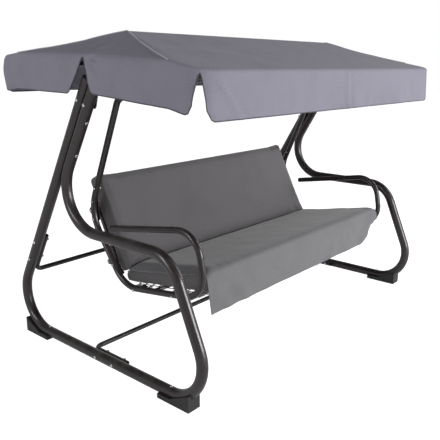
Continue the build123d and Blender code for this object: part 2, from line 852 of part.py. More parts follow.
skirt_head = on_rail(seat_cushion_front + face_gap, skirt_top)
skirt_belly = on_rail(seat_cushion_front + face_gap, cushion_clearance)
skirt_hem = (skirt_belly[0] + skirt_lean, skirt_bottom)
skirt_line = (skirt_head, skirt_belly, skirt_hem)
with BuildPart() as seat_skirt:
    with BuildSketch(Plane.YZ):
        with BuildLine():
            Polyline(
                *skirt_line, *[(y - skirt_thickness, z) for y, z in reversed(skirt_line)], close=True
            )
        make_face()
    extrude(amount=cushion_width / 2 - skirt_inset, both=True)
save(seat_skirt, "seat_skirt")

with BuildPart() as back_cushion:
    with BuildSketch(Plane.YZ):
        with BuildLine():
            Polyline(
                on_back(0, 0),
                on_back(back_cushion_length, 0),
                on_back(back_cushion_length, back_cushion_thickness),
                on_back(0, back_cushion_thickness),
                close=True,
            )
        make_face()
    extrude(amount=cushion_width / 2, both=True)
    fillet(back_cushion.edges().filter_by(Axis.X), cushion_edge)
save(back_cushion, "back_cushion")

# ---- Canopy frame ----

bow_x = canopy_width / 2 - bow_inset
tube_drop = cloth + cloth_gap + bow_radius
front_end = (canopy_front_y + bow_inset, front_edge_height - tube_drop)
rear_end = (canopy_rear_y - bow_inset, pivot[1])
ridge_end = (ridge_y, ridge_height - tube_drop)


def slanted(direction):
    """A plane through the pivots whose own Y runs along a side-view direction."""
    return Plane(origin=space(0, pivot), x_dir=(1, 0, 0), z_dir=(0, -direction[1], direction[0]))


bow_ways = {}
for name, end in (("front", front_end), ("rear", rear_end)):
    bow_ways[name] = unit(pivot, end)
    reach = distance(pivot, end)
    bow = bent_tube(
        slanted(bow_ways[name]),
        ((-bow_x, hub_reach), (-bow_x, reach), (bow_x, reach), (bow_x, hub_reach)),
        bow_corner_bend,
        bow_tube,
        bow_wall,
    )
    save(bow, f"canopy_{name}_bow")

ridge_plane = slanted(unit(pivot, ridge_end))
ridge_rise = distance(pivot, ridge_end)
ridge_half = ridge_length / 2
ridge_slope = (ridge_rise - ridge_foot) / (bow_x - ridge_half)
ridge_start = (bow_x - hub_width, ridge_foot + hub_width * ridge_slope)
ridge_bar = bent_tube(
    ridge_plane,
    (
        (-ridge_start[0], ridge_start[1]),
        (-ridge_half, ridge_rise),
        (ridge_half, ridge_rise),
        ridge_start,
    ),
    ridge_bend,
    bow_tube,
    bow_wall,
)
save(ridge_bar, "canopy_ridge_bar")

bow_bore = bow_tube / 2 - bow_wall
head_sink = head_height + head_cover
for side, sign in sides:
    hub_point = space(sign * bow_x, pivot)
    with BuildPart() as joint:
        with Locations(facing(sign * bow_x, pivot, (1, 0, 0))):
            Cylinder(hub_radius, hub_width)
        for way in bow_ways.values():
            with BuildSketch(Plane(origin=hub_point, z_dir=(0, *way))):
                Circle(bow_radius)
            extrude(amount=hub_reach)
            with BuildSketch(Plane(origin=hub_point, z_dir=(0, *way))):
                Circle(bow_bore - spigot_clearance)
            extrude(amount=hub_reach + joint_spigot)
        ridge_base = ridge_plane.from_local_coords((sign * bow_x, ridge_root, 0))
        ridge_mouth = ridge_plane.from_local_coords((sign * ridge_start[0], ridge_start[1], 0))
        ridge_knee = ridge_plane.from_local_coords((sign * ridge_half, ridge_rise, 0))
        ridge_way = ridge_knee - ridge_mouth
        with BuildSketch(Plane(origin=ridge_mouth, z_dir=ridge_way)):
            Circle(bow_bore - spigot_clearance)
        extrude(amount=ridge_spigot)
        with BuildSketch(Plane(origin=ridge_mouth, z_dir=-ridge_way)):
            Circle(bow_bore - spigot_clearance)
        extrude(amount=(ridge_mouth - ridge_base).length)
        with Locations(facing(sign * bow_x, pivot, (1, 0, 0))):
            Cylinder(canopy_bolt / 2 + running_clearance, 8 * hub_width, mode=Mode.SUBTRACT)
        with Locations(facing(sign * (bow_x + hub_width / 2), pivot, (-sign, 0, 0))):
            Cylinder(
                head_radius + face_gap,
                head_sink,
                align=(Align.CENTER, Align.CENTER, Align.MIN),
                mode=Mode.SUBTRACT,
            )
    save(joint, f"{side}_canopy_joint")

head_x = bow_x + hub_width / 2 - head_sink + face_gap
knob_x = plate_x - face_gap
bolt_length = head_x - knob_x + knob_depth - knob_cap - bolt_end_room
pivot_bolt = bolt(canopy_bolt, head_radius, head_height, bolt_length)
save(group(pivot_bolt, lateral_places(head_x, [pivot])), "canopy_pivot_bolts")
hub_inner_x = bow_x - hub_width / 2 - face_gap
with BuildPart() as canopy_spacer:
    Cylinder(spacer_radius, hub_inner_x - inner_x, align=(Align.CENTER, Align.CENTER, Align.MIN))
    Cylinder(canopy_bolt / 2 + bolt_clearance, 8 * hub_width, mode=Mode.SUBTRACT)
save(group(canopy_spacer, lateral_places(hub_inner_x, [pivot])), "canopy_spacers")

for side, sign in sides:
    with BuildPart() as knob:
        with BuildSketch(Plane(origin=space(sign * knob_x, pivot), z_dir=(-sign, 0, 0))):
            Circle(knob_radius)
            with PolarLocations(knob_radius + knob_groove_offset, knob_lobes):
                Circle(knob_groove_radius, mode=Mode.SUBTRACT)
        extrude(amount=knob_wing_depth)
        with BuildSketch(Plane(origin=space(sign * knob_x, pivot), z_dir=(-sign, 0, 0))):
            Circle(knob_core_radius)
        extrude(amount=knob_depth)
        with Locations(facing(sign * knob_x, pivot, (-sign, 0, 0))):
            bore_length = 2 * (knob_depth - knob_cap)
            Cylinder(canopy_bolt / 2 + running_clearance, bore_length, mode=Mode.SUBTRACT)
    save(knob, f"{side}_canopy_knob")

# ---- Canopy cover ----


def edge_height(y):
    """Height of the roof's edge: level behind the pivot, falling towards the front."""
    fall = (side_edge_height - front_edge_height) / (canopy_pivot_y - canopy_front_y)
    return side_edge_height - fall * max(0, canopy_pivot_y - y)


def roof_block(inset, bottom):
    """The canopy's outer form moved in by an inset, as a closed block down to a height."""
    half = canopy_width / 2 - inset
    front = canopy_front_y + inset
    rear = canopy_rear_y - inset
    cut = corner_cut - inset * (2 - sqrt(2))
    side_ys = (front + cut, front + hip_setback, canopy_pivot_y, rear - hip_setback, rear - cut)
    right = [(half - cut, front), *[(half, y) for y in side_ys], (half - cut, rear)]
    loop = right + [(-x, y) for x, y in reversed(right)]
    edge = [Vector(x, y, edge_height(y) - inset) for x, y in loop]
    floor = [Vector(x, y, bottom) for x, y in loop]
    ridge_right = Vector(ridge_half, ridge_y, ridge_height - inset)
    ridge_left = Vector(-ridge_half, ridge_y, ridge_height - inset)
    count = len(right)
    corners = [[ridge_right, edge[n], edge[n + 1]] for n in range(count - 1)]
    corners += [[ridge_left, edge[n], edge[n + 1]] for n in range(count, 2 * count - 1)]
    corners.append([ridge_right, edge[count - 1], edge[count], ridge_left])
    corners.append([ridge_left, edge[-1], edge[0], ridge_right])
    for n in range(len(loop)):
        corners.append([edge[n], floor[n], floor[n - len(loop) + 1], edge[n - len(loop) + 1]])
    corners.append(floor)
    faces = [Face(Wire.make_polygon(points, close=True)) for points in corners]
    return Solid(Shell(faces))


cut_margin = 20               # how far the cuts run past the cloth
hem_floor = front_edge_height - front_valance - corner_cut
block_floor = hem_floor - cut_margin
slit_tip = side_edge_height - slit_apex
side_hem_front = edge_height(canopy_front_y) - side_valance_front
side_hem_slit = edge_height(canopy_pivot_y - slit_front) - side_valance_front
side_hem_rear = side_edge_height - side_valance_rear
valance_x = canopy_width / 2
side_cut = [
    (canopy_front_y - cut_margin, block_floor),
    (canopy_front_y - cut_margin, side_hem_front),
    (canopy_pivot_y - slit_front, side_hem_slit),
    (canopy_pivot_y - slit_round[0], side_hem_slit + slit_round[1]),
    (canopy_pivot_y + slit_tip_reach[0], slit_tip),
    (canopy_pivot_y + slit_tip_reach[1], slit_tip),
    (canopy_pivot_y + slit_rear, side_hem_rear),
    (canopy_rear_y + cut_margin, side_hem_rear),
    (canopy_rear_y + cut_margin, block_floor),
]
slit_depth = front_valance + side_valance_front
half_slit = corner_slit / 2
slit_hem = half_slit + corner_slit_flare
with BuildPart() as canopy_cover:
    add(roof_block(0, hem_floor))
    add(roof_block(cloth, block_floor), mode=Mode.SUBTRACT)
    for side, sign in sides:
        with BuildSketch(Plane.YZ.offset(sign * (valance_x - corner_cut / 2))):
            with BuildLine():
                Polyline(*side_cut, close=True)
            make_face()
        extrude(amount=sign * corner_cut, mode=Mode.SUBTRACT)
        for corner_y, way in ((canopy_front_y, 1), (canopy_rear_y, -1)):
            middle = (sign * (valance_x - corner_cut / 2), corner_y + way * corner_cut / 2)
            top = edge_height(corner_y) - corner_slit_apex
            outward = Vector(sign, -way, 0)
            with BuildSketch(Plane(origin=(*middle, top), x_dir=(way, sign, 0), z_dir=outward)):
                with BuildLine():
                    Polyline(
                        (-corner_slit_tip / 2, 0),
                        (corner_slit_tip / 2, 0),
                        (half_slit, -corner_slit_shoulder),
                        (slit_hem, -slit_depth),
                        (-slit_hem, -slit_depth),
                        (-half_slit, -corner_slit_shoulder),
                        close=True,
                    )
                make_face()
            extrude(amount=corner_cut, both=True, mode=Mode.SUBTRACT)
    ends = (
        (canopy_front_y, front_edge_height - front_valance),
        (canopy_rear_y, side_edge_height - rear_valance),
    )
    for y, hem in ends:
        with Locations((0, y, hem)):
            Box(
                canopy_width - corner_cut,
                4 * corner_cut,
                2 * front_valance,
                align=(Align.CENTER, Align.CENTER, Align.MAX),
                mode=Mode.SUBTRACT,
            )
save(canopy_cover, "canopy_cover")
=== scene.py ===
import json
import math

import bmesh
import bpy
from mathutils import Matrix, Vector, noise
from mathutils.bvhtree import BVHTree


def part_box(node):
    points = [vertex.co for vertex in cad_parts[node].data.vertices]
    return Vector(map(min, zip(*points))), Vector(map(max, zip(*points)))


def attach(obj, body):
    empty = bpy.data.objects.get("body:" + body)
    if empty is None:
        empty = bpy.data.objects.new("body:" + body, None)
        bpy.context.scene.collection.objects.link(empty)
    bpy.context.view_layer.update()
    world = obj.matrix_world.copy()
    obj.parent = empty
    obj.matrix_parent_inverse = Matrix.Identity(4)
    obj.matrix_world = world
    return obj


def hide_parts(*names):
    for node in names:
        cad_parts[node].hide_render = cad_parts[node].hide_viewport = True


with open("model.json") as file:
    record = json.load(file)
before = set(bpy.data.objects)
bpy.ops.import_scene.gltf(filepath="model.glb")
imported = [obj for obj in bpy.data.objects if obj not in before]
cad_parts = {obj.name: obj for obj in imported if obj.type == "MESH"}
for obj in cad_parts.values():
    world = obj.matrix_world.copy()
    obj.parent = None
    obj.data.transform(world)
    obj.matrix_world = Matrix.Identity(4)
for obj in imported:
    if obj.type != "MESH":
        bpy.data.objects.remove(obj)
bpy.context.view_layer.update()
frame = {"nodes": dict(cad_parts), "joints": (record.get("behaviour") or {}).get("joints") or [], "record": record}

bl_info = {
    "name": "Glider Swing",
    "version": (1, 0, 0),
    "blender": (4, 5, 0),
    "location": "3D View > Sidebar > Swing",
    "description": "Cloth, cushions, finishes and studio for a canopied garden swing seat",
    "category": "Object",
}

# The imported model's box, before anything is replaced
NODES = frame["nodes"]

# ---- Materials ----


def linear(code):
    """The linear colour of an sRGB hex value."""
    parts = [int(code[n:n + 2], 16) / 255 for n in (1, 3, 5)]
    return [c / 12.92 if c <= 0.04045 else ((c + 0.055) / 1.055) ** 2.4 for c in parts] + [1]


def add_node(tree, kind, links=None, **settings):
    """Adds a node. A setting names a socket or an attribute; a link goes into a socket, by its
    name or number."""
    made = tree.nodes.new(kind)
    for name, value in settings.items():
        if hasattr(made, name):
            setattr(made, name, value)
        else:
            made.inputs[name.replace("_", " ")].default_value = value
    for socket, source in (links or {}).items():
        tree.links.new(source, made.inputs[socket])
    return made


def new_material(name):
    made = bpy.data.materials.new(name)
    made.use_nodes = True
    made.node_tree.nodes.clear()
    return made, made.node_tree


def close_material(tree, links, **settings):
    """The shader and the output at the end of a material's nodes."""
    shader = add_node(tree, "ShaderNodeBsdfPrincipled", links, **settings)
    add_node(tree, "ShaderNodeOutputMaterial", {"Surface": shader.outputs["BSDF"]})


def scale_for(millimetres):
    """A noise texture's scale for marks this far apart."""
    return 1000 / millimetres


def bands_for(millimetres):
    """A wave texture's scale for bands this far apart."""
    return 1000 / millimetres * math.pi / 10


def ramp(tree, source, low, high, stops=(0.35, 0.65)):
    """Two colours spread over a texture's values."""
    made = add_node(tree, "ShaderNodeValToRGB", {"Fac": source})
    for element, place, colour in zip(made.color_ramp.elements, stops, (low, high)):
        element.position = place
        element.color = colour
    return made.outputs["Color"]


def grey(value):
    return (value, value, value, 1)


def shade(colour, factor):
    return [c * factor for c in colour[:3]] + [1]


def powder_coat(name, colour, roughness):
    """Powder coating baked on steel tube: a faint orange peel that breaks up long highlights,
    a satin gloss, and a little dust in patches on the upper side."""
    material, tree = new_material(name)
    place = add_node(tree, "ShaderNodeTexCoord").outputs["Object"]
    peel = add_node(tree, "ShaderNodeTexNoise", {"Vector": place}, Scale=scale_for(2.5), Detail=2)
    patches = add_node(tree, "ShaderNodeTexNoise", {"Vector": place}, Scale=scale_for(70), Detail=4)
    base = ramp(tree, patches.outputs["Fac"], shade(colour, 0.82), shade(colour, 1.2))
    facing = add_node(tree, "ShaderNodeNewGeometry").outputs["Normal"]
    height = add_node(tree, "ShaderNodeSeparateXYZ", {"Vector": facing}).outputs["Z"]
    dusty = add_node(
        tree, "ShaderNodeMath", {0: height, 1: patches.outputs["Fac"]}, operation="MULTIPLY"
    )
    dust = ramp(tree, dusty.outputs[0], grey(0), grey(0.1), (0.35, 0.65))
    dusted = add_node(tree, "ShaderNodeMix", {0: dust, 6: base}, data_type="RGBA")
    dusted.inputs[7].default_value = linear("#8d8682")
    rough = ramp(tree, patches.outputs["Fac"], grey(roughness * 0.85), grey(roughness * 1.2))
    bump = add_node(
        tree, "ShaderNodeBump", {"Height": peel.outputs["Fac"]}, Strength=0.12, Distance=0.0004
    )
    close_material(
        tree,
        {"Base Color": dusted.outputs[2], "Roughness": rough, "Normal": bump.outputs["Normal"]},
        IOR=1.5, Coat_Weight=0.1, Coat_Roughness=0.1,
    )
    return material


def moulded_plastic(name, colour):
    """Injection-moulded polypropylene: a fine matt grain from the mould and slight scuffs."""
    material, tree = new_material(name)
    place = add_node(tree, "ShaderNodeTexCoord").outputs["Object"]
    grain = add_node(tree, "ShaderNodeTexNoise", {"Vector": place}, Scale=scale_for(1.2), Detail=3)
    scuffs = add_node(tree, "ShaderNodeTexNoise", {"Vector": place}, Scale=scale_for(25), Detail=6)
    base = ramp(tree, scuffs.outputs["Fac"], shade(colour, 0.8), shade(colour, 1.35))
    rough = ramp(tree, scuffs.outputs["Fac"], grey(0.5), grey(0.68))
    bump = add_node(
        tree, "ShaderNodeBump", {"Height": grain.outputs["Fac"]}, Strength=0.25, Distance=0.0003
    )
    close_material(
        tree,
        {"Base Color": base, "Roughness": rough, "Normal": bump.outputs["Normal"]},
        IOR=1.49,
    )
    return material


def zinc_plate(name, colour):
    """Bright zinc-plated steel: a clean, slightly cloudy metal."""
    material, tree = new_material(name)
    place = add_node(tree, "ShaderNodeTexCoord").outputs["Object"]
    cloud = add_node(tree, "ShaderNodeTexNoise", {"Vector": place}, Scale=scale_for(4), Detail=4)
    base = ramp(tree, cloud.outputs["Fac"], shade(colour, 0.8), colour)
    rough = ramp(tree, cloud.outputs["Fac"], grey(0.22), grey(0.38))
    bump = add_node(
        tree, "ShaderNodeBump", {"Height": cloud.outputs["Fac"]}, Strength=0.15, Distance=0.0002
    )
    close_material(
        tree,
        {"Base Color": base, "Roughness": rough, "Normal": bump.outputs["Normal"]},
        Metallic=1.0,
    )
    return material


def woven_cloth(name, colour, thread, roughness, sheen, by_map):
    """Plain-woven polyester: crossing threads, drawn coarser than the real 0.4 mm ones so that
    they show, slubs where a thread is thicker, and soft patches where the cloth has been pressed."""
    material, tree = new_material(name)
    coordinates = add_node(tree, "ShaderNodeTexCoord")
    place = coordinates.outputs["Object"]
    flat = coordinates.outputs["UV"] if by_map else place
    turned = add_node(tree, "ShaderNodeMapping", {"Vector": flat})
    turned.inputs["Rotation"].default_value = (0 if by_map else math.radians(45), 0, 0)
    threads = [
        add_node(
            tree, "ShaderNodeTexWave", {"Vector": source}, bands_direction=way, Scale=bands_for(thread)
        ).outputs["Fac"]
        for source, way in ((flat, "X"), (turned.outputs["Vector"], "Y"))
    ]
    weave = add_node(
        tree, "ShaderNodeMath", {0: threads[0], 1: threads[1]}, operation="MULTIPLY"
    ).outputs[0]
    slubs = add_node(tree, "ShaderNodeTexNoise", {"Vector": flat}, Scale=scale_for(7), Detail=3)
    patches = add_node(tree, "ShaderNodeTexNoise", {"Vector": place}, Scale=scale_for(160), Detail=5)
    tone = add_node(
        tree,
        "ShaderNodeMath",
        {0: slubs.outputs["Fac"], 1: patches.outputs["Fac"]},
        operation="ADD",
    ).outputs[0]
    woven = add_node(
        tree, "ShaderNodeMath", {0: weave, 2: tone}, operation="MULTIPLY_ADD"
    )
    woven.inputs[1].default_value = 0.15
    base = ramp(tree, woven.outputs[0], shade(colour, 0.93), shade(colour, 1.07), (0.8, 1.3))
    fine = add_node(tree, "ShaderNodeBump", {"Height": weave}, Strength=0.12, Distance=0.0005)
    soft = add_node(
        tree,
        "ShaderNodeBump",
        {"Height": patches.outputs["Fac"], "Normal": fine.outputs["Normal"]},
        Strength=0.25,
        Distance=0.008,
    )
    close_material(
        tree,
        {"Base Color": base, "Normal": soft.outputs["Normal"]},
        Roughness=roughness, Sheen_Weight=sheen, Sheen_Roughness=0.4, IOR=1.45,
    )
    return material


def finish_slot(slot, material):
    """Gives every CAD node of a material slot its finish."""
    for part in frame["record"]["subparts"]:
        if part["material_slot"] == slot:
            dress(NODES[part["node"]], material)


# ---- Meshes ----


def dress(piece, material):
    """Gives a piece one material."""
    piece.data.materials.clear()
    piece.data.materials.append(material)


def new_piece(name, mesh, body, material):
    """A piece from a mesh, riding on a body."""
    piece = bpy.data.objects.new(name, mesh)
    bpy.context.scene.collection.objects.link(piece)
    dress(piece, material)
    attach(piece, body)
    return piece


def only(piece):
    """Selects one piece and makes it active."""
    bpy.ops.object.select_all(action="DESELECT")
    piece.select_set(True)
    bpy.context.view_layer.objects.active = piece


def apply_modifier(piece, kind, **settings):
    only(piece)
    made = piece.modifiers.new(kind.title(), kind)
    for name, value in settings.items():
        setattr(made, name, value)
    bpy.ops.object.modifier_apply(modifier=made.name)


def smooth_faces(piece, angle=None):
    only(piece)
    if angle:
        bpy.ops.object.shade_smooth_by_angle(angle=math.radians(angle))
    else:
        bpy.ops.object.shade_smooth()


def rise(low, high, value):
    """0 below low, 1 above high, and a soft step between."""
    t = min(1, max(0, (value - low) / (high - low)))
    return t * t * (3 - 2 * t)


def bell(centre, width, value):
    """A hump one high and about width wide."""
    return math.exp(-(((value - centre) / width) ** 2))


def drift(x, y, z, size, seed):
    """Soft noise from -1 to 1 with features of a size."""
    return noise.noise(Vector((x / size + seed, y / size, z / size)))


def mix(a, b, t):
    return a + (b - a) * t


# ---- Canopy ----

COVER_LOW, COVER_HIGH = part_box("canopy_cover")
RIDGE_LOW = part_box("canopy_ridge_bar")[0]
TILT = next(joint for joint in frame["joints"] if joint["name"] == "canopy_tilt")
PIVOT_Y = TILT["pos_m"][1]
TUBE_RADIUS = 0.011
# How far the cloth stands off the cover's box, and how far it is pulled out behind
CLOTH_EASE = 0.004
REAR_EASE = 0.022


class CanopySizes(bpy.types.PropertyGroup):
    """Sizes and colour of the canopy cloth"""

    front_drop: bpy.props.FloatProperty(
        name="Front Valance", description="Drop at the front", default=0.18, unit="LENGTH"
    )
    rear_drop: bpy.props.FloatProperty(
        name="Rear Valance", description="Drop at the back", default=0.165, unit="LENGTH"
    )
    side_front_drop: bpy.props.FloatProperty(
        name="Side Valance in Front",
        description="Drop at the sides, in front of the uprights",
        default=0.152,
        unit="LENGTH",
    )
    side_rear_drop: bpy.props.FloatProperty(
        name="Side Valance Behind",
        description="Drop at the sides, behind the uprights",
        default=0.122,
        unit="LENGTH",
    )
    front_edge: bpy.props.FloatProperty(
        name="Front Edge", description="Height of the roof's front edge", default=1.363,
        unit="LENGTH",
    )
    side_edge: bpy.props.FloatProperty(
        name="Side Edge", description="Height of the roof's edge at the pivot", default=1.405,
        unit="LENGTH",
    )
    hip: bpy.props.FloatProperty(
        name="Hip Setback", description="From a corner to where the hip seam ends",
        default=0.15, unit="LENGTH",
    )
    slit_rise: bpy.props.FloatProperty(
        name="Slit Rise", description="How far the edge is drawn up at the uprights and behind",
        default=0.016, unit="LENGTH",
    )
    hip_rise: bpy.props.FloatProperty(
        name="Hip Rise", description="Height of the hip seam's foot above the corner",
        default=0.030, unit="LENGTH",
    )
    corner: bpy.props.FloatProperty(
        name="Corner Radius", description="Rounding of the plan's corners", default=0.06,
        unit="LENGTH",
    )
    sag: bpy.props.FloatProperty(
        name="Sag", description="Dip of the cloth between its bows", default=0.007, unit="LENGTH"
    )
    side_fold: bpy.props.FloatProperty(
        name="Side Fold", description="How softly the roof turns down at the sides", default=0.03,
        unit="LENGTH",
    )
    colour: bpy.props.StringProperty(
        name="Cloth Colour", description="sRGB hex value", default="#73717d"
    )


HALF = COVER_HIGH.x + CLOTH_EASE
FRONT_Y = COVER_LOW.y + CLOTH_EASE
REAR_Y = COVER_HIGH.y + REAR_EASE
RIDGE_Y = RIDGE_LOW.y + TUBE_RADIUS
RIDGE_Z = COVER_HIGH.z + CLOTH_EASE
# Half the length of the ridge bar's level part
RIDGE_HALF = 0.807

# Rows of faces on the roof, round its edge and down the valance, and the width of a column
ROOF_ROWS = 26
EAVE_TURNS = 5
DROP_ROWS = 14
COLUMN_WIDTH = 0.016
EDGE_SAMPLES = 2000
SHEET_THICKNESS = 0.0016

# The slits at the uprights and corners
SLIT_HALF = 0.015
CORNER_INSET = 0.02
CORNER_EXTRA_DROP = 0.018
REAR_EXTRA_DROP = 0.022
WIDE_GAP = 0.05

# The turn of the cloth where it is stretched sharp over a bow
SHARP_FOLD = 0.014

# Wrinkles that fan out from a point near the top of a side slit
FAN_AHEAD, FAN_ABOVE = 0.015, 0.01
FAN_INBOARD, FAN_SPREAD = 0.12, 0.4
FAN_FOLDS, FAN_TURN = 7, 1.1
FAN_DEPTH, FAN_DENT, FAN_BEHIND = 0.009, -0.15, 0.35

# A pleat near the middle of the front valance, with a dip beside it, and a slanted crease at its end
PLEAT_X, PLEAT_WIDTH, PLEAT_DEPTH = 0.02, 0.013, 0.006
DIP_X, DIP_WIDTH, DIP_DEPTH = 0.052, 0.016, 0.004
SLANT_INSET, SLANT_SLOPE, SLANT_WIDTH, SLANT_DEPTH = 0.06, 0.9, 0.022, 0.005


def edge_height(sizes, y):
    """Height of the roof's edge. It falls in front of the pivot, and at each end drops from the
    hip seam to the corner with the slope of the roof above it."""
    front_hip, rear_hip = FRONT_Y + sizes.hip, REAR_Y - sizes.hip
    marks = (
        (FRONT_Y, sizes.front_edge),
        (front_hip, sizes.front_edge + sizes.hip_rise),
        (PIVOT_Y, sizes.side_edge + sizes.slit_rise),
        (rear_hip, sizes.side_edge + sizes.hip_rise),
        (REAR_Y, sizes.side_edge + sizes.slit_rise),
    )
    y = min(max(y, FRONT_Y), REAR_Y)
    for (low_y, low_z), (high_y, high_z) in zip(marks, marks[1:]):
        if y <= high_y:
            return mix(low_z, high_z, (y - low_y) / (high_y - low_y))


def outline(sizes, steps=10):
    """The roof's edge seen from above, as points with rounded corners, from the front of the left
    side round by the front and back to the rear of the left side."""
    radius = sizes.corner
    corners = [(-HALF, FRONT_Y), (HALF, FRONT_Y), (HALF, REAR_Y), (-HALF, REAR_Y)]
    starts = [180, 270, 0, 90]
    points = []
    for (x, y), start in zip(corners, starts):
        centre = (x - math.copysign(radius, x), y - math.copysign(radius, y))
        for n in range(steps + 1):
            angle = math.radians(start + 90 * n / steps)
            points.append(
                (centre[0] + radius * math.cos(angle), centre[1] + radius * math.sin(angle))
            )
    return points


class Edge:
    """The roof's edge as a line that can be read at any distance along it."""

    def __init__(self, sizes):
        loop = [(-HALF, PIVOT_Y)] + outline(sizes) + [(-HALF, PIVOT_Y)]
        self.points = loop
        self.marks = [0.0]
        for a, b in zip(loop, loop[1:]):
            self.marks.append(self.marks[-1] + math.dist(a, b))
        self.length = self.marks[-1]

    def at(self, distance):
        """The point and the outward direction at a distance from the left pivot, front first."""
        distance %= self.length
        n = max(i for i, mark in enumerate(self.marks[:-1]) if mark <= distance + 1e-9)
        a, b = self.points[n], self.points[n + 1]
        span = self.marks[n + 1] - self.marks[n]
        t = (distance - self.marks[n]) / span if span else 0
        way = ((b[0] - a[0]) / max(span, 1e-9), (b[1] - a[1]) / max(span, 1e-9))
        return (mix(a[0], b[0], t), mix(a[1], b[1], t)), (way[1], -way[0])

    def near(self, x, y):
        """The distance along the edge of the point nearest to a place."""
        best = min(
            (
                math.dist(self.at(self.length * n / EDGE_SAMPLES)[0], (x, y)),
                self.length * n / EDGE_SAMPLES,
            )
            for n in range(EDGE_SAMPLES)
        )
        return best[1]


def panel_plan(edge, sizes):
    """The valance's panels: for each, its start and end along the edge, its drop at both ends, and
    at both ends the half width of its slit at the hem, how far down the slit starts, and the
    radius of the hem's corner."""
    inset = CORNER_INSET
    corner_fl = edge.near(-HALF + inset, FRONT_Y + inset)
    corner_fr = edge.near(HALF - inset, FRONT_Y + inset)
    corner_rr = edge.near(HALF - inset, REAR_Y - inset)
    corner_rl = edge.near(-HALF + inset, REAR_Y - inset)
    right_pivot = edge.near(HALF, PIVOT_Y)
    corner_drop = sizes.side_front_drop + CORNER_EXTRA_DROP
    rear_drop = sizes.side_rear_drop + sizes.slit_rise + REAR_EXTRA_DROP
    return [
        dict(start=-SLIT_HALF, end=corner_fl, drops=(sizes.side_front_drop, corner_drop),
             gaps=(0.022, 0.03), tips=(0.001, 0.018), rounds=(0.045, 0.04)),
        dict(start=corner_fl, end=corner_fr, drops=(sizes.front_drop, sizes.front_drop),
             gaps=(0.022, 0.024), tips=(0.018, 0.018), rounds=(0.04, 0.04)),
        dict(start=corner_fr, end=right_pivot + SLIT_HALF,
             drops=(corner_drop, sizes.side_front_drop),
             gaps=(0.03, 0.022), tips=(0.018, 0.001), rounds=(0.04, 0.045)),
        dict(start=right_pivot + SLIT_HALF, end=corner_rr, drops=(rear_drop, rear_drop),
             gaps=(0.101, 0.012), tips=(0.004, 0.03), rounds=(0.008, 0.03)),
        dict(start=corner_rr, end=corner_rl, drops=(sizes.rear_drop, sizes.rear_drop),
             gaps=(0.012, 0.012), tips=(0.03, 0.03), rounds=(0.03, 0.03)),
        dict(start=corner_rl, end=edge.length - SLIT_HALF, drops=(rear_drop, rear_drop),
             gaps=(0.012, 0.101), tips=(0.03, 0.004), rounds=(0.03, 0.008)),
    ]


def ridge_point(x, y, sizes):
    """The point of the ridge line that a point of the roof's edge is joined to."""
    reach = HALF - sizes.corner
    if abs(y - FRONT_Y) < sizes.corner * 0.6 or abs(y - REAR_Y) < sizes.corner * 0.6:
        share = max(-1, min(1, x / reach))
        return share * RIDGE_HALF
    return math.copysign(RIDGE_HALF, x)


def fold_size(sizes, x, y):
    """How far before and below the edge the cloth starts to turn: soft at the sides, between the
    hip seams, and sharp along the bows' front and back."""
    if abs(x) < HALF - 0.001:
        return SHARP_FOLD
    to_hip = min(y - FRONT_Y, REAR_Y - y) - sizes.hip
    soft = rise(0.0, 0.12, to_hip) * (1 - bell(PIVOT_Y, 0.09, y))
    return mix(SHARP_FOLD, sizes.side_fold, soft)


def creases(x, y, depth):
    """How far the cloth stands out at a place of its edge, at a depth below it: the wrinkles at a
    side slit, and the pleat, dip and slanted crease of the front valance."""
    made = 0.0
    if abs(x) > HALF - FAN_INBOARD and abs(y - PIVOT_Y) < FAN_SPREAD:
        ahead, down = PIVOT_Y + FAN_AHEAD - y, depth + FAN_ABOVE
        reach = math.hypot(ahead, down)
        turn = math.atan2(down, ahead)
        ring = bell(0.085, 0.045, reach) * rise(0.02, 0.05, reach)
        fan = math.sin(turn * FAN_FOLDS + FAN_TURN) * ring
        made += FAN_DEPTH * max(fan, FAN_DENT) * (1 if ahead > 0 else FAN_BEHIND)
    if y < FRONT_Y + 0.01 and depth > 0:
        made += PLEAT_DEPTH * bell(PLEAT_X, PLEAT_WIDTH, x) - DIP_DEPTH * bell(DIP_X, DIP_WIDTH, x)
        slant_x = -HALF + SLANT_INSET + depth * SLANT_SLOPE
        made += SLANT_DEPTH * bell(slant_x, SLANT_WIDTH, x) * rise(0.0, 0.05, depth)
    return made


def roof_line(sizes, start, end, distance, run):
    """The cloth's line from the ridge to where it starts to turn down. It dips a little, but not
    where it lies along the ridge bar's slanted ends."""
    line = []
    for k in range(ROOF_ROWS + 1):
        t = k / ROOF_ROWS
        hollow = math.sin(math.pi * t)
        point = start.lerp(end, t)
        over_bar = bell(0, 0.25, t) if abs(start.x) > RIDGE_HALF - 0.001 else 0
        point.z -= sizes.sag * hollow * (1 - over_bar)
        point.z += hollow * (
            0.004 * drift(point.x, point.y, 0, 0.3, 3.1)
            + 0.0018 * drift(point.x, point.y, 0, 0.08, 8.2)
        )
        line.append((point, distance, (t - 1) * run))
    return line


def slit_shift(panel, share, depth, drop):
    """How far a point of a panel moves along the edge, as the slits at its ends open downwards."""
    shift = 0.0
    ends = zip((1, -1), panel["tips"], panel["gaps"], (1 - share, share))
    for sign, tip, gap, weight in ends:
        straight = min(1, max(0, (depth - tip) / (drop - tip)))
        opening = straight if gap > WIDE_GAP else math.sqrt(straight)
        shift += sign * gap * opening * weight
    return shift


def corner_lift(panel, share, length):
    """How far the hem is lifted by the rounded corner of a panel."""
    lift = 0.0
    for size, along in zip(panel["rounds"], (share * length, (1 - share) * length)):
        if along < size:
            t = 1 - along / size
            lift = max(lift, size * (1 - math.sqrt(max(0, 1 - t * t))))
    return lift


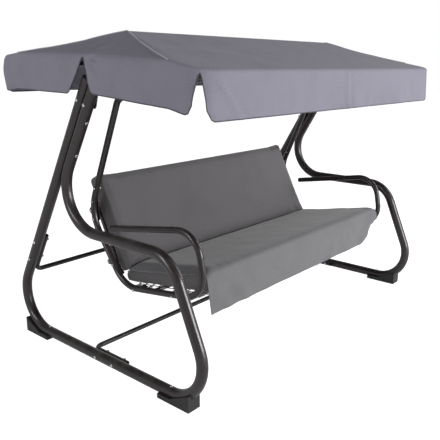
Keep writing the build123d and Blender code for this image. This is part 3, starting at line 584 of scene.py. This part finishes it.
def section(edge, sizes, distance, panel, share, length):
    """One line of the cloth, from the ridge over the edge to the hem, as (point, u, v)."""
    x, y = edge.at(distance)[0]
    low = edge_height(sizes, y)
    drop = mix(*panel["drops"], share)
    fold = fold_size(sizes, x, y)
    corner = Vector((x, y, low))
    top = Vector((ridge_point(x, y, sizes), RIDGE_Y, RIDGE_Z))
    slope = corner - top
    before = corner - slope.normalized() * fold
    line = roof_line(sizes, top, before, distance, slope.length)
    after_depth = fold * 1.05
    down = corner - Vector((0, 0, after_depth))
    for k in range(1, EAVE_TURNS + 1):
        t = k / (EAVE_TURNS + 1)
        point = before.lerp(corner, t).lerp(corner.lerp(down, t), t)
        line.append((point, distance, after_depth * t))
    for k in range(DROP_ROWS + 1):
        depth = mix(after_depth, drop, k / DROP_ROWS)
        place = distance + slit_shift(panel, share, depth, drop)
        depth -= corner_lift(panel, share, length) * rise(0.25, 1.0, depth / drop)
        (px, py), way = edge.at(place)
        ripple = rise(0.03, 0.16, depth) * (
            0.007 * drift(place, 0, 0, 0.17, 1.7) + 0.003 * drift(place, depth, 0, 0.06, 5.3)
        )
        flare = 0.006 * (depth / 0.18) ** 2
        bulge = 0.012 * bell(0.07, 0.06, depth) * rise(0.1, 0.0, REAR_Y - py)
        out = flare + ripple + creases(px, py, depth) + bulge
        z = edge_height(sizes, py) - depth
        line.append((Vector((px + way[0] * out, py + way[1] * out, z)), place, depth))
    return line


def add_grid(mesh, layer, grid):
    """Joins columns of (point, u, v) into faces with a map in metres."""
    verts = [[mesh.verts.new(spot[0]) for spot in column] for column in grid]
    for n in range(len(grid) - 1):
        for k in range(len(grid[0]) - 1):
            corners = ((n, k), (n, k + 1), (n + 1, k + 1), (n + 1, k))
            face = mesh.faces.new([verts[a][b] for a, b in corners])
            for loop, (a, b) in zip(face.loops, corners):
                loop[layer].uv = grid[a][b][1:]


def close_mesh(name, mesh):
    """A mesh from finished edit data."""
    made = bpy.data.meshes.new(name)
    mesh.to_mesh(made)
    mesh.free()
    return made


def canopy_mesh(sizes):
    """The roof and valances as one sheet of cloth with a map in metres."""
    edge = Edge(sizes)
    mesh = bmesh.new()
    layer = mesh.loops.layers.uv.new("cloth")
    for panel in panel_plan(edge, sizes):
        length = panel["end"] - panel["start"]
        columns = max(8, round(length / COLUMN_WIDTH))
        grid = []
        for n in range(columns + 1):
            share = n / columns
            distance = panel["start"] + length * share
            grid.append(section(edge, sizes, distance, panel, share, length))
        add_grid(mesh, layer, grid)
    bmesh.ops.remove_doubles(mesh, verts=mesh.verts, dist=0.0006)
    bmesh.ops.recalc_face_normals(mesh, faces=mesh.faces)
    for vert in mesh.verts:
        on_roof = vert.co.z > edge_height(sizes, vert.co.y) - 0.02
        inboard = HALF - abs(vert.co.x)
        if on_roof and inboard < 0.16 and abs(vert.co.y - PIVOT_Y) < FAN_SPREAD:
            wrinkle = creases(HALF, vert.co.y, -inboard)
            vert.co += vert.normal * wrinkle * (1 if vert.normal.z > 0 else -1)
    return close_mesh("canopy_cloth", mesh)


def tape_along(name, lines, radius, material, body):
    """Bindings or piping: a round tape along each line of points, made a mesh."""
    curve = bpy.data.curves.new(name, "CURVE")
    curve.dimensions = "3D"
    curve.bevel_depth = radius
    curve.bevel_resolution = 1
    for line, closed in lines:
        spline = curve.splines.new("POLY")
        spline.points.add(len(line) - 1)
        for spot, point in zip(spline.points, line):
            spot.co = (*point, 1)
        spline.use_cyclic_u = closed
    piece = bpy.data.objects.new(name, curve)
    bpy.context.scene.collection.objects.link(piece)
    only(piece)
    bpy.ops.object.convert(target="MESH")
    dress(piece, material)
    smooth_faces(piece)
    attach(piece, body)
    return piece


SHORT_LINE = 12


def free_edges(mesh):
    """The open borders of a sheet, as lines of points, without the shortest ones."""
    work = bmesh.new()
    work.from_mesh(mesh)
    # A dictionary keeps the mesh's order, so that every run starts its lines at the same points
    border = {edge: None for edge in work.edges if len(edge.link_faces) == 1}
    lines = []
    while border:
        start = next(iter(border))
        del border[start]
        line = [start.verts[0], start.verts[1]]
        while True:
            following = [e for e in line[-1].link_edges if e in border]
            if not following:
                break
            del border[following[0]]
            line.append(following[0].other_vert(line[-1]))
        closed = line[0] == line[-1]
        points = [vert.co.copy() for vert in (line[:-1] if closed else line)]
        if len(points) > SHORT_LINE:
            lines.append((points, closed))
    work.free()
    return lines


class SWING_OT_canopy(bpy.types.Operator):
    """Sew the canopy's roof and valances as one sheet and lay it on the bows"""

    bl_idname = "swing.canopy"
    bl_label = "Canopy Cloth"

    def execute(self, context):
        sizes = context.scene.swing_canopy
        cloth = woven_cloth(
            "woven_polyester_canopy", linear(sizes.colour), 2.2, 0.85, 0.06, by_map=True
        )
        roof = new_piece("canopy_cloth", canopy_mesh(sizes), "canopy", cloth)
        tape = woven_cloth(
            "woven_polyester_binding", linear("#3f3d46"), 2.2, 0.7, 0.2, by_map=False
        )
        binding = tape_along(
            "canopy_binding", free_edges(roof.data), 0.0026, tape, "canopy"
        )
        edge = Edge(sizes)
        hips = [
            (x, y) for x in (-HALF, HALF) for y in (FRONT_Y + sizes.hip, REAR_Y - sizes.hip)
        ]
        plain = panel_plan(edge, sizes)[0]
        seams = []
        for x, y in hips:
            points = section(edge, sizes, edge.near(x, y), plain, 0.5, 1)[: ROOF_ROWS + 3]
            seams.append(([spot[0] + Vector((0, 0, 0.0012)) for spot in points], False))
        piping = tape_along(
            "canopy_piping", seams, 0.0032,
            woven_cloth("woven_polyester_piping", linear("#8f8d99"), 2.2, 0.6, 0.3, by_map=False),
            "canopy",
        )
        apply_modifier(roof, "SOLIDIFY", thickness=SHEET_THICKNESS, offset=0)
        smooth_faces(roof, 50)
        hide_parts("canopy_cover")
        return {"FINISHED"}


# ---- Cushions ----


class CushionSizes(bpy.types.PropertyGroup):
    """Sizes and colour of the cushions"""

    start_inset: bpy.props.FloatProperty(
        name="Start Inset", description="How much smaller a pad is before it swells",
        default=0.004, unit="LENGTH",
    )
    swell: bpy.props.FloatProperty(
        name="Swell", description="The most a point of a pad moves as it fills", default=0.012,
        unit="LENGTH",
    )
    voxel: bpy.props.FloatProperty(
        name="Mesh Size", description="Spacing of the pad's mesh while it fills", default=0.008,
        unit="LENGTH",
    )
    # Painted shade: the pads are the same cloth as the cover, drawn darker than the cover's colour to stand in for
    # the shadow on the seat pad's ends; the back pad is drawn in this darker colour too
    colour: bpy.props.StringProperty(
        name="Pad Colour", description="sRGB hex value", default="#575557"
    )
    cover_colour: bpy.props.StringProperty(
        name="Cover Colour", description="sRGB hex value", default="#626265"
    )


FILL_PRESSURE = 4
FILL_FRAMES = 20


def pad_from_node(name, node, sizes):
    """A copy of a CAD solid, drawn in a little, remeshed fine, and filled by cloth pressure."""
    mesh = NODES[node].data.copy()
    mesh.name = name
    work = bmesh.new()
    work.from_mesh(mesh)
    bmesh.ops.remove_doubles(work, verts=work.verts, dist=0.0002)
    work.to_mesh(mesh)
    work.free()
    piece = bpy.data.objects.new(name, mesh)
    bpy.context.scene.collection.objects.link(piece)
    only(piece)
    apply_modifier(piece, "REMESH", mode="VOXEL", voxel_size=sizes.voxel)
    work = bmesh.new()
    work.from_mesh(piece.data)
    for n in range(3):
        bmesh.ops.smooth_vert(
            work, verts=work.verts, factor=0.5, use_axis_x=True, use_axis_y=True, use_axis_z=True
        )
    work.normal_update()
    for vert in work.verts:
        vert.co -= vert.normal * sizes.start_inset
    work.to_mesh(piece.data)
    work.free()
    before = [vert.co.copy() for vert in piece.data.vertices]
    only(piece)
    cloth = piece.modifiers.new("Fill", "CLOTH")
    settings = cloth.settings
    settings.use_pressure = True
    settings.uniform_pressure_force = FILL_PRESSURE
    settings.effector_weights.gravity = 0
    settings.quality = 4
    cloth.point_cache.frame_start = 1
    cloth.point_cache.frame_end = FILL_FRAMES
    for step in range(1, FILL_FRAMES + 1):
        bpy.context.scene.frame_set(step)
    bpy.ops.object.modifier_apply(modifier=cloth.name)
    bpy.context.scene.frame_set(1)
    for vert, start in zip(piece.data.vertices, before):
        moved = vert.co - start
        if moved.length > sizes.swell:
            vert.co = start + moved.normalized() * sizes.swell
    return piece


class SWING_OT_seat_pad(bpy.types.Operator):
    """Fill the seat cushion"""

    bl_idname = "swing.seat_pad"
    bl_label = "Seat Cushion"

    def execute(self, context):
        sizes = context.scene.swing_cushions
        pad = pad_from_node("seat_pad", "seat_cushion", sizes)
        # The seat pad's cloth is the cover's cloth painted darker, as painted shade
        dress(
            pad,
            woven_cloth("woven_polyester_seat_painted_shade", linear(sizes.colour), 2.0, 0.78, 0.3, by_map=False),
        )
        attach(pad, "seat")
        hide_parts("seat_cushion")
        smooth_faces(pad)
        return {"FINISHED"}


# How far the foot of the back cushion comes forward and down into the crease of the seat
BACK_SINK = Vector((0, -0.010, -0.018))


class SWING_OT_back_pad(bpy.types.Operator):
    """Fill the back cushion"""

    bl_idname = "swing.back_pad"
    bl_label = "Back Cushion"

    def execute(self, context):
        sizes = context.scene.swing_cushions
        pad = pad_from_node("back_pad", "back_cushion", sizes)
        low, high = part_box("back_cushion")
        for vert in pad.data.vertices:
            vert.co += BACK_SINK * rise(high.z - 0.1, low.z, vert.co.z)
        # The back pad's cloth is the cover's cloth painted darker, as painted shade
        dress(
            pad,
            woven_cloth("woven_polyester_back_painted_shade", linear(sizes.colour), 2.0, 0.78, 0.3, by_map=False),
        )
        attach(pad, "seat")
        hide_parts("back_cushion")
        smooth_faces(pad)
        return {"FINISHED"}


# ---- Seat cover ----

SKIRT_LOW, SKIRT_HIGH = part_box("seat_skirt")
SEAT_LOW, SEAT_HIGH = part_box("seat_cushion")

# Rows of faces on top of the pad, round its front and down the skirt, and columns across
TOP_ROWS = 16
ROLL_ROWS = 14
HANG_ROWS = 16
COVER_COLUMNS = 170

# How far the cover lies off the pad, and how much further it hangs off it at the hem
COVER_GAP = 0.003
COVER_LOOSE = 0.008
# How far the cover reaches past the pad's ends, and how far in from them the pad is felt for
COVER_OVERHANG = 0.010
PAD_END = 0.022
# Where the cover starts behind, and the centre it is rolled round in front
CREASE_INSET = 0.05
ROLL_BACK, ROLL_DOWN, ROLL_TURN = 0.065, 0.045, 95
# The skirt's slant inwards and its hem's height over the CAD skirt's
HANG_IN = 0.016
HEM_LIFT = 0.003
# How far the right end of the hem is drawn up
HEM_DRAWN_UP = 0.085


def cover_line(tree, x, inner):
    """The cover's line over the pad at a place along the bench: from the crease forward over the
    top, round the front and down to the pad's lower front edge."""
    line = []
    centre_y, centre_z = SEAT_LOW.y + ROLL_BACK, SKIRT_HIGH.z - ROLL_DOWN
    for k in range(TOP_ROWS):
        y = mix(SEAT_HIGH.y - CREASE_INSET, centre_y, k / TOP_ROWS)
        hit = tree.ray_cast(Vector((inner, y, SEAT_HIGH.z + 0.2)), Vector((0, 0, -1)))[0]
        line.append(Vector((x, y, hit.z + COVER_GAP)))
    for k in range(ROLL_ROWS + 1):
        turn = math.radians(ROLL_TURN * k / ROLL_ROWS)
        way = Vector((0, -math.sin(turn), math.cos(turn)))
        hit = tree.ray_cast(Vector((inner, centre_y, centre_z)), way)[0]
        line.append(Vector((x, hit.y, hit.z)) + way * COVER_GAP)
    last = line[-1]
    for k in range(1, HANG_ROWS + 1):
        w = k / HANG_ROWS
        line.append(Vector((x, last.y + HANG_IN * w, mix(last.z, SKIRT_LOW.z + HEM_LIFT, w))))
    return line


def drape(point, x, k, count, half):
    """Moves one point of the cover: the left end hangs in loose folds, the right end is drawn up
    and in with gathers, and the whole skirt stands off a little and wanders."""
    hang = rise(TOP_ROWS + ROLL_ROWS * 0.5, count, k)
    fall = max(0, (k - TOP_ROWS - ROLL_ROWS) / HANG_ROWS)
    left, right = x + half, half - x
    point.x += 0.03 * fall * bell(0, 0.1, left)
    point.z += HEM_DRAWN_UP * fall * rise(0.19, 0.0, right)
    point.y += 0.03 * fall * rise(0.12, 0.0, right)
    point.x -= 0.02 * fall * rise(0.05, 0.0, right)
    fold = 0.006 * (1 + math.sin(left * 42 - fall * 4)) / 2 * bell(0.2, 0.13, left) * hang
    fan = math.atan2(right + 0.02, 0.06 + k / count)
    near_end = rise(0.32, 0.05, right) * rise(0.45, 0.8, k / count)
    gather = 0.0045 * math.sin(fan * 16) * near_end
    wander = 0.003 * drift(x, 0, fall * 0.2, 0.13, 2.2) + 0.0018 * drift(x, 0, k * 0.02, 0.05, 6.1)
    point.y -= fold + gather + (wander + COVER_LOOSE) * hang
    point.z += 0.003 * drift(x, 0, 0, 0.25, 4.4) * fall
    if k < TOP_ROWS:
        point.z += 0.0015 * drift(x, point.y, 0, 0.11, 9.3)


def cover_mesh():
    """The cover over the seat pad: one sheet from the crease over the front, hanging as a skirt,
    with its left end loose and its right end drawn up in gathers."""
    tree = BVHTree.FromObject(bpy.data.objects["seat_pad"], bpy.context.evaluated_depsgraph_get())
    half = SEAT_HIGH.x + COVER_OVERHANG
    reach = SEAT_HIGH.x - PAD_END
    grid = []
    for n in range(COVER_COLUMNS + 1):
        x = mix(-half, half, n / COVER_COLUMNS)
        column = cover_line(tree, x, max(-reach, min(reach, x)))
        if abs(x) > reach:
            for point in column[:TOP_ROWS + ROLL_ROWS // 2]:
                point.z -= 0.012 * rise(0, half - reach, abs(x) - reach)
        for k, point in enumerate(column):
            drape(point, x, k, len(column) - 1, half)
        runs = [0.0]
        for a, b in zip(column, column[1:]):
            runs.append(runs[-1] + (b - a).length)
        grid.append([(point, point.x, run) for point, run in zip(column, runs)])
    mesh = bmesh.new()
    add_grid(mesh, mesh.loops.layers.uv.new("cloth"), grid)
    bmesh.ops.recalc_face_normals(mesh, faces=mesh.faces)
    return close_mesh("seat_cover", mesh)


class SWING_OT_cover(bpy.types.Operator):
    """Lay the cover over the seat cushion and let it hang in front"""

    bl_idname = "swing.cover"
    bl_label = "Seat Cover"

    def execute(self, context):
        sizes = context.scene.swing_cushions
        cloth = woven_cloth(
            "woven_polyester_cover", linear(sizes.cover_colour), 2.0, 0.78, 0.3, by_map=True
        )
        cover = new_piece("seat_cover", cover_mesh(), "seat", cloth)
        binding = tape_along(
            "cover_hem", free_edges(cover.data), 0.0022, cloth, "seat"
        )
        apply_modifier(cover, "SOLIDIFY", thickness=SHEET_THICKNESS, offset=0)
        smooth_faces(cover, 60)
        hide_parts("seat_skirt")
        return {"FINISHED"}


# ---- Metalwork and fittings ----


class FinishColours(bpy.types.PropertyGroup):
    """Colours of the hard parts"""

    tube: bpy.props.StringProperty(
        name="Tube Paint", description="sRGB hex value", default="#241d1e"
    )
    brace: bpy.props.StringProperty(
        name="Brace Paint", description="sRGB hex value", default="#151416"
    )
    plastic: bpy.props.StringProperty(
        name="Plastic", description="sRGB hex value", default="#1d1d20"
    )
    zinc: bpy.props.StringProperty(
        name="Bolts", description="sRGB hex value", default="#d2d3d5"
    )


class SWING_OT_finishes(bpy.types.Operator):
    """Paint the tubes and braces and finish the plastic and plated parts"""

    bl_idname = "swing.finishes"
    bl_label = "Hard Finishes"

    def execute(self, context):
        colours = context.scene.swing_colours
        finish_slot(
            "frame_paint", powder_coat("powder_coated_steel_brown", linear(colours.tube), 0.3)
        )
        finish_slot(
            "black_paint", powder_coat("powder_coated_steel_black", linear(colours.brace), 0.36)
        )
        finish_slot(
            "moulded_plastic", moulded_plastic("moulded_polypropylene", linear(colours.plastic))
        )
        finish_slot("zinc_plate", zinc_plate("zinc_plated_steel", linear(colours.zinc)))
        return {"FINISHED"}


# ---- Stage ----


class StageSizes(bpy.types.PropertyGroup):
    """Camera and lights"""

    camera_place: bpy.props.FloatVectorProperty(
        name="Camera", description="Where the camera stands", size=3,
        default=(-2.492, -2.033, 1.370), subtype="TRANSLATION",
    )
    heading: bpy.props.FloatProperty(
        name="Heading", description="Turned from the object's depth towards its right",
        default=math.radians(49.27), subtype="ANGLE",
    )
    pitch: bpy.props.FloatProperty(
        name="Pitch", description="Looking down", default=math.radians(14.78), subtype="ANGLE"
    )
    lens: bpy.props.FloatProperty(
        name="Lens", description="Focal length in millimetres", default=47.29
    )
    key: bpy.props.FloatProperty(
        name="Key Light", description="Power of the large light in front", default=330
    )
    rim: bpy.props.FloatProperty(
        name="Strip Lights", description="Power of the lights that draw the tubes' highlights",
        default=60,
    )


def add_area_light(name, place, target, size, power):
    bpy.ops.object.select_all(action="DESELECT")
    bpy.ops.object.light_add(type="AREA", location=place)
    light = bpy.context.object
    light.name = name
    light.data.shape = "RECTANGLE"
    light.data.size, light.data.size_y = size
    light.data.energy = power
    light.rotation_euler = (Vector(target) - Vector(place)).to_track_quat("-Z", "Y").to_euler()
    return light


class SWING_OT_stage(bpy.types.Operator):
    """Set up the pale floor, the soft light and the camera"""

    bl_idname = "swing.stage"
    bl_label = "Stage"

    def execute(self, context):
        sizes = context.scene.swing_stage
        bpy.ops.object.select_all(action="DESELECT")
        bpy.ops.mesh.primitive_plane_add(size=60, location=(0, 0, -0.0005))
        floor = context.object
        floor.name = "floor"
        material, tree = new_material("pale_floor")
        place = add_node(tree, "ShaderNodeTexCoord").outputs["Object"]
        cloud = add_node(tree, "ShaderNodeTexNoise", {"Vector": place}, Scale=1.5, Detail=2)
        base = ramp(tree, cloud.outputs["Fac"], grey(0.78), grey(0.8))
        seen = add_node(tree, "ShaderNodeLightPath").outputs["Is Camera Ray"]
        glow = add_node(tree, "ShaderNodeMapRange", {"Value": seen}, To_Min=0.22, To_Max=0.88)
        close_material(
            tree, {"Base Color": base, "Emission Strength": glow.outputs["Result"]},
            Roughness=0.9, Emission_Color=grey(1),
        )
        floor.data.materials.append(material)

        world = bpy.data.worlds.new("studio")
        context.scene.world = world
        world.use_nodes = True
        tree = world.node_tree
        tree.nodes.clear()
        place = add_node(tree, "ShaderNodeTexCoord").outputs["Generated"]
        up = add_node(tree, "ShaderNodeSeparateXYZ", {"Vector": place}).outputs["Z"]
        tone = ramp(tree, up, grey(0.72), grey(0.22), (0.1, 0.45))
        seen = add_node(tree, "ShaderNodeLightPath").outputs["Is Camera Ray"]
        white = add_node(tree, "ShaderNodeMix", {0: seen, 6: tone}, data_type="RGBA")
        white.inputs[7].default_value = grey(1)
        glow = add_node(tree, "ShaderNodeBackground", {"Color": white.outputs[2]}, Strength=1.0)
        add_node(tree, "ShaderNodeOutputWorld", {"Surface": glow.outputs["Background"]})

        centre = (0, 0, 0.75)
        add_area_light("key", (1.2, -6.2, 1.9), centre, (3.0, 2.2), sizes.key)
        add_area_light("left_strip", (-4.5, 0.6, 2.4), centre, (0.6, 2.6), sizes.rim)
        add_area_light("right_strip", (4.2, -2.2, 2.6), centre, (0.6, 2.6), sizes.rim)

        bpy.ops.object.select_all(action="DESELECT")
        bpy.ops.object.camera_add(location=sizes.camera_place)
        camera = context.object
        camera.name = "camera"
        across = math.cos(sizes.pitch)
        way = Vector(
            (math.sin(sizes.heading) * across, math.cos(sizes.heading) * across,
             -math.sin(sizes.pitch))
        )
        camera.rotation_euler = way.to_track_quat("-Z", "Y").to_euler()
        camera.data.lens = sizes.lens
        camera.data.sensor_width = 36
        camera.data.clip_end = 200
        context.scene.camera = camera
        context.scene.view_settings.view_transform = "Standard"
        return {"FINISHED"}


# ---- Panel and start ----

STEPS = (
    SWING_OT_stage,
    SWING_OT_finishes,
    SWING_OT_canopy,
    SWING_OT_seat_pad,
    SWING_OT_cover,
    SWING_OT_back_pad,
)


class SWING_PT_panel(bpy.types.Panel):
    """The swing's pieces, in the order they are made"""

    bl_idname = "SWING_PT_panel"
    bl_label = "Glider Swing"
    bl_space_type = "VIEW_3D"
    bl_region_type = "UI"
    bl_category = "Swing"

    def draw(self, context):
        for step in STEPS:
            self.layout.operator(step.bl_idname)


GROUPS = {
    "swing_canopy": CanopySizes,
    "swing_cushions": CushionSizes,
    "swing_colours": FinishColours,
    "swing_stage": StageSizes,
}
CLASSES = (*GROUPS.values(), *STEPS, SWING_PT_panel)


def register():
    for kind in CLASSES:
        bpy.utils.register_class(kind)
    for name, kind in GROUPS.items():
        setattr(bpy.types.Scene, name, bpy.props.PointerProperty(type=kind))


def unregister():
    for name in GROUPS:
        delattr(bpy.types.Scene, name)
    for kind in reversed(CLASSES):
        bpy.utils.unregister_class(kind)


def main():
    register()
    for step in STEPS:
        section, name = step.bl_idname.split(".")
        getattr(getattr(bpy.ops, section), name)()


if __name__ == "__main__":
    main()
